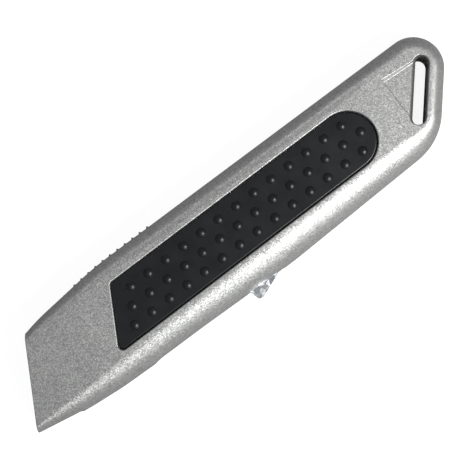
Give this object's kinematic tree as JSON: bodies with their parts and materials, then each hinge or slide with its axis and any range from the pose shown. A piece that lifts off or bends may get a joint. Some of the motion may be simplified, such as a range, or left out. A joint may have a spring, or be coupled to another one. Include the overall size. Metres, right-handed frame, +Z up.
{
  "type": "utility knife",
  "caption": "Retracting utility knife: two cast half shells with rubber inlays, a ribbed spine slider, a sprung blade carriage, a belly catch and a lanyard slot.",
  "frame": {"origin": "under the middle of the knife's box, on the surface that its right side lies on", "axes": "+X towards the tail (the blade leaves towards -X), +Y towards the spine and the thumb slider, +Z up out of the left side"},
  "size_m": [0.1528, 0.0356, 0.017],
  "materials": {
    "silver_paint": "silver metallic paint with a fine sparkle over a die-casting",
    "black_rubber": "satin black moulded rubber",
    "hardened_steel": "ground steel",
    "blade_steel": "ground carbon steel with a bright edge",
    "pin_steel": "turned steel",
    "spring_steel": "drawn spring wire",
    "polished_steel": "polished steel",
    "bare_casting": "bare die-casting",
    "magnet": "nickel plated",
    "black_screw": "black oxide"
  },
  "bodies": {
    "housing": {"left_shell": "silver_paint", "right_shell": "silver_paint", "left_grip": "black_rubber", "right_grip": "black_rubber", "left_blade_guide": "hardened_steel", "right_blade_guide": "hardened_steel", "front_bumper": "black_rubber", "rear_bumper": "black_rubber", "dowel_pins": "pin_steel", "shell_screws": "black_screw", "spring_anchor": "pin_steel", "catch_pivot": "pin_steel", "catch_spring": "spring_steel"},
    "carriage": {"blade_carrier": "bare_casting", "blade": "blade_steel", "blade_magnet": "magnet", "blade_clamp": "bare_casting", "clamp_screw": "black_screw", "spring_post": "pin_steel", "return_spring": "spring_steel", "thumb_slider": "silver_paint", "slider_rivets": "pin_steel"},
    "catch": {"release_catch": "polished_steel"}
  },
  "joints": [
    {"name": "blade_slide", "type": "slide", "parent": "housing", "child": "carriage", "axis": [-1, 0, 0], "range_m": [0, 0.014], "stiffness_N_per_m": 200, "springref_m": -0.012, "deforming": ["return_spring"]},
    {"name": "catch_press", "type": "hinge", "parent": "housing", "child": "catch", "pos_m": [0.0118, -0.0097, 0.0085], "axis": [0, 0, -1], "range_deg": [0, 8], "stiffness_Nm_per_rad": 0.05, "springref_deg": -11.46, "deforming": ["catch_spring"]}
  ]
}
